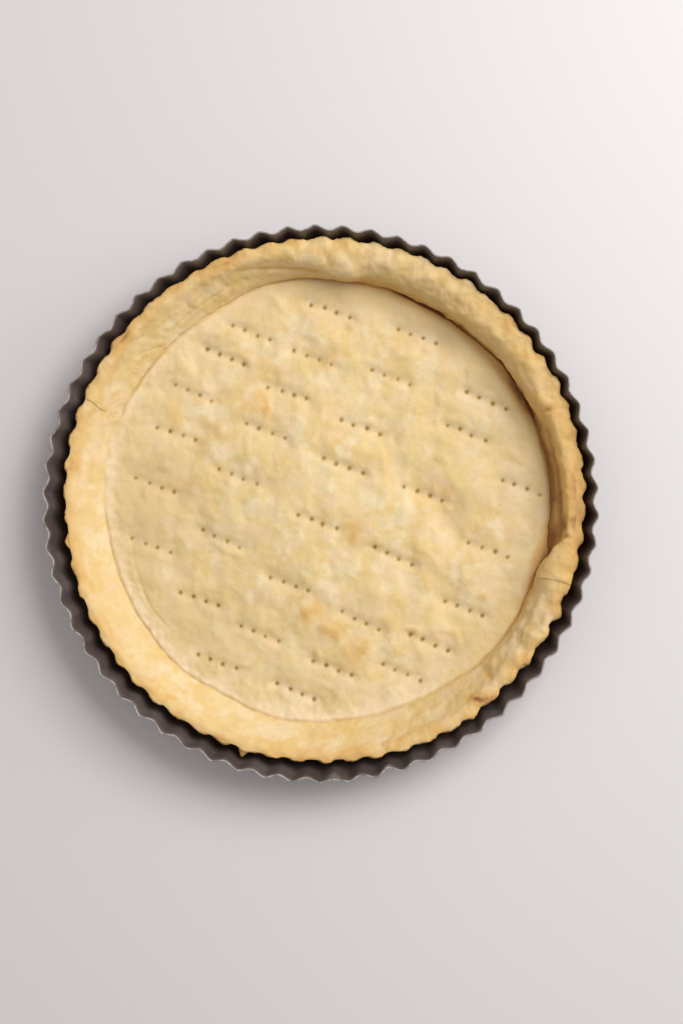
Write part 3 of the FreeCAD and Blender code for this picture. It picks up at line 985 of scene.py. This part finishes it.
def press_marks(strip, push):
    """Presses in the lines left by the layers of dough and by fingers, and returns the brown painted as shade
    in them.
    """
    r, height, inner, rise = strip.r, strip.height, strip.inner, strip.rise
    turned = strip.angle % 360.0
    brown_and_shade = 0.0
    for angles, radii, width, depth in FOLDS:
        line = np.interp(turned, angles, radii)
        first, last = angles[0], angles[-1]
        fading = between(turned, last - 0.35 * (last - first), last)
        present = between(turned, first, first + 4) * (1 - fading)
        fold = present * hump(r, line, width) * inner * rise
        push -= depth * fold
        # Brown painted as shade in the fold
        brown_and_shade = brown_and_shade + 0.45 * depth * fold
    from_flats = angle_gap(strip.angle, FLATS_AT)
    flats = np.abs((from_flats / FLATS_STEP + 0.5) % 1.0 - 0.5) * 2 * hump(from_flats, 0.0, FLATS_REACH)
    push -= 0.9 * flats * inner * rise
    notch = strip.near(NOTCH_AT, 1.9) * hump(height, 0.55, 0.42) * inner
    push -= 1.5 * notch
    past_lobe = angle_gap(strip.angle, np.interp(r, LOBE_RADII, LOBE_ANGLES))
    beside_lobe = between(past_lobe, -0.2, 0.9) * (1 - between(past_lobe, 1.5, 9.0))
    beside_lobe = beside_lobe * (1 - between(r, 109.0, 111.0)) * rise
    push -= 1.3 * beside_lobe
    groove = strip.near(GROOVE_AT, 1.1) * hump(strip.along, 7.6, 1.3)
    push -= 0.95 * groove
    step = strip.near(STEP_AT, 1.2) * hump(strip.along, 7.6, 1.3)
    push -= 0.7 * step
    pit = strip.near(PIT_AT, 3.0) * hump(height, 0.12, 0.24) * inner
    push -= 1.2 * pit
    # Brown painted as shade in the dents: beside the lobe, the notch, the pit, the groove and the step
    return brown_and_shade + 0.15 * beside_lobe + 0.45 * notch + 0.9 * pit + 0.45 * groove + 0.4 * step


def shape_ends(strip, push, on_top):
    """Laps: thin raised lips with a rounded edge over ends that sink."""
    if on_top:
        upper = between(strip.height, 0.3, 0.8)
        push -= 0.24 * (1 - np.sqrt(np.clip(strip.inside / 0.7, 0, 1)))
        push += (0.08 + 0.20 * upper) * np.exp(-strip.inside / 3.0)
    else:
        push -= 1.1 * between(-strip.inside, 0.3, 1.8)


def bake_and_shade(strip, r, dent_shade):
    """Oven colour on the lip's outer edge in patches; brown painted as shade in the marks and the crease, and
    painted shade with some real browning on the inner face at the right.
    """
    along, height, inner = strip.along, strip.height, strip.inner
    lit_edge = between(r, 108.0, 117.8) * (1 - 0.6 * between(along, 11.5, 13.0))
    patches = np.clip(0.85 + 0.75 * strip.field(10.0, 6, 2), 0, 1.3)
    toast_and_shade = 0.12 + 0.56 * strip.by_angle(EDGE_TONE) * lit_edge * patches
    toast_and_shade += 0.26 * between(strip.field(12.0, 7, 3), 0.1, 0.8) * between(height, 0.3, 0.9)
    # Brown painted as shade in the dents
    toast_and_shade += dent_shade
    slant = angle_gap(strip.angle, SLANT_AT) - 0.45 * np.clip(r - 117.0, -9.0, 1.0)
    toast_and_shade += 0.75 * hump(slant, 0.0, 2.6) * between(r, 107.5, 114.0) * (0.8 + 0.6 * strip.field(3.0, 12))
    for place, reach, strength in LIP_SPOTS:
        toast_and_shade += strength * strip.near(place, reach) * between(along, 7.5, 9.5)
    toast_and_shade += strip.by_angle(LIP_TONE) * between(along, 8.6, 10.6)
    # Painted shade with some real browning: on the inner face at the right, and in a stripe halfway up it
    shaded = 1 - between(height, 0.1, strip.by_angle(SHADE_TOP))
    toast_and_shade += strip.by_angle(SIDE_TONE) + strip.by_angle(SHADE_TONE) * shaded * inner
    toast_and_shade += strip.by_angle(STRIPE_TONE) * hump(height, 0.66, 0.26) * inner
    # Brown in the crease: partly baked colour, partly painted shade
    toast_and_shade += 0.3 * strip.by_angle(CREASE) * hump(along, 1.8, 1.1)
    toast_and_shade = np.where(along > 8.8, np.minimum(toast_and_shade, LIP_TOAST_LIMIT), toast_and_shade)
    return np.where(strip.seen > 0.5, toast_and_shade, 0.4)


def paint_dull_shade(strip, sag):
    """Painted shade that dulls the crust: in its hollows, on the roll's face and on top of it at the back
    right.
    """
    crust_shade = 0.4 * between(-sag, 0.0, 0.6) * strip.seen
    crust_shade += 0.45 * strip.by_angle(ROLL) * hump(strip.height, 0.5, 0.4) * strip.inner
    crust_shade += 0.6 * strip.near(60.0, 24.0) * hump(strip.along, 8.4, 2.2)
    return crust_shade


def build_band(name, start, end, node, material, on_top):
    """One strip of dough. The strip on top ends in thin lips over the other's, which are tucked under."""
    strip = Strip(start, end, 0.0 if on_top else TUCK)
    push, sag = knead(strip)
    print_flutes(strip, push)
    dent_shade = press_marks(strip, push)
    shape_ends(strip, push, on_top)
    push = push * strip.seen
    r = strip.r + push * strip.out_r
    z = np.maximum(strip.z + push * strip.out_z, SIDE_LOW_Z)
    r = r + 2.4 * strip.near(FLAKE_AT, 1.3) * hump(z, 21.8, 2.0) * strip.outer
    toast_and_shade = bake_and_shade(strip, r, dent_shade)
    crust_shade = paint_dull_shade(strip, sag)

    turn = strip.turn
    if on_top:
        # The lips end in a shallow curve
        bow = strip.end_side * np.exp(-strip.inside / 4.0) * np.sin(np.pi * np.clip(strip.height, 0, 1))
        turn = turn + np.radians(1.1) * bow * strip.inner
    x = CRUST_CENTRE[0] + r * np.cos(turn)
    y = CRUST_CENTRE[1] + r * np.sin(turn)
    points = np.stack([x, y, z], axis=-1).reshape(-1, 3)
    rows, columns = r.shape
    faces = grid_faces(rows, columns, False, True, flip=True).tolist()
    faces.append(list(reversed(range(columns))))
    faces.append([(rows - 1) * columns + k for k in range(columns)])
    band = make_piece(
        name, points, faces, "pastry", material, [node],
        {"toast_and_shade": toast_and_shade.reshape(-1), "prick_brown_and_shade": np.zeros(rows * columns), "crust_shade": crust_shade.reshape(-1)},
    )
    for cut_end in band.data.polygons[-2:]:
        cut_end.use_smooth = False


# ---------------------------------------------------------------- stage, light and camera

CAMERA_PLACE = (58.4, -4.4, PAN_HEIGHT + 748.0)
CAMERA_AIM = (10.8, -3.6, PAN_HEIGHT)
LENS = 58.6
SENSOR_WIDTH = 36.0


def build_stage(material):
    """A plain floor, in metres."""
    reach = 6.0
    mesh = bpy.data.meshes.new("stage_floor")
    corners = [(-reach, -reach, 0), (reach, -reach, 0), (reach, reach, 0), (-reach, reach, 0)]
    mesh.from_pydata(corners, [], [(0, 1, 2, 3)])
    mesh.materials.append(material)
    floor = bpy.data.objects.new("stage_floor", mesh)
    bpy.context.scene.collection.objects.link(floor)


def area_light(name, azimuth, elevation, distance, size, watts, colour):
    """A square lamp facing the origin, its distance and size in metres."""
    data = bpy.data.lights.new(name, "AREA")
    data.shape = "SQUARE"
    data.size = size
    data.energy = watts
    data.color = colour
    light = bpy.data.objects.new(name, data)
    a, e = math.radians(azimuth), math.radians(elevation)
    way = Vector((math.cos(a) * math.cos(e), math.sin(a) * math.cos(e), math.sin(e)))
    light.location = way * distance
    light.rotation_mode = "QUATERNION"
    light.rotation_quaternion = (-way).to_track_quat("-Z", "Y")
    light.visible_camera = False
    bpy.context.scene.collection.objects.link(light)


def build_lights():
    area_light("window", 40.0, 50.0, 1.2, 0.7, 11.6, (1.0, 0.98, 0.955))
    area_light("sill", 12.0, 24.0, 1.6, 0.6, 5.0, (1.0, 0.97, 0.94))
    area_light("fill", 160.0, 60.0, 2.6, 2.4, 7.0, (0.95, 0.95, 0.97))
    world = bpy.data.worlds.new("studio")
    world.use_nodes = True
    sky = world.node_tree.nodes["Background"]
    sky.inputs["Color"].default_value = (1.0, 0.95, 0.885, 1.0)
    sky.inputs["Strength"].default_value = 0.35
    bpy.context.scene.world = world
    bpy.context.scene.view_settings.view_transform = "Standard"


def build_camera():
    """Almost straight above, a little to the right of the pan's middle and leaning back to it."""
    data = bpy.data.cameras.new("camera")
    data.sensor_width = SENSOR_WIDTH
    data.lens = LENS
    data.clip_start = 0.01
    camera = bpy.data.objects.new("camera", data)
    place = Vector(CAMERA_PLACE) * MM
    back = (place - Vector(CAMERA_AIM) * MM).normalized()
    right = Vector((0.0, 1.0, 0.0)).cross(back).normalized()
    turn = Matrix((right, back.cross(right), back)).transposed().to_4x4()
    camera.matrix_world = Matrix.Translation(place) @ turn
    bpy.context.scene.collection.objects.link(camera)
    bpy.context.scene.camera = camera


ring_coating = coated_steel("ring_coating")
build_ring(ring_coating)
build_base(coated_steel("base_coating"))
build_floor(shortcrust("floor_pastry"))
side_pastry = shortcrust("side_pastry")
build_band("pastry_band_back_crust", SEAM_FRONT - 360.0, SEAM_BACK, "pastry_band_back", side_pastry, True)
build_band("pastry_band_front_crust", SEAM_BACK, SEAM_FRONT, "pastry_band_front", side_pastry, False)
build_stage(pale_floor("stage"))
build_lights()
build_camera()
